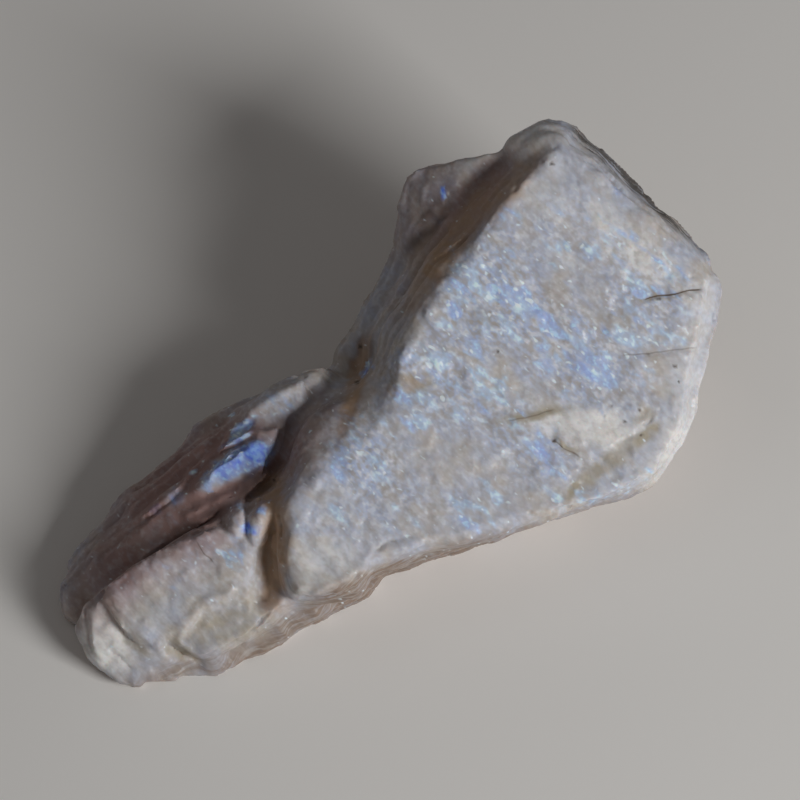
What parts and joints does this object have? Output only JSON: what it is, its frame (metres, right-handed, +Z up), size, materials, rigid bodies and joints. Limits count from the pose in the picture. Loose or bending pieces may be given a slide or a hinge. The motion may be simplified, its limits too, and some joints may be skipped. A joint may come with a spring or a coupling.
{
  "type": "rough moonstone chunk",
  "caption": "Rough piece of milky white feldspar with a broad streaked cleavage face, a stepped thin end and layered sides, lying on its flat underside.",
  "frame": {"origin": "On the surface the stone rests on, below the middle of its bounding box.", "axes": "+X runs along the stone's longest extent towards its thick end, +Y across it towards the back, +Z up. The broad face looks up and towards -Y."},
  "size_m": [0.0732, 0.037, 0.0264],
  "materials": {
    "moonstone": "uncut, pearly cleavage faces with a blue-white sheen in streaks"
  },
  "bodies": {
    "root": {"moonstone_chunk": "moonstone"}
  },
  "joints": []
}
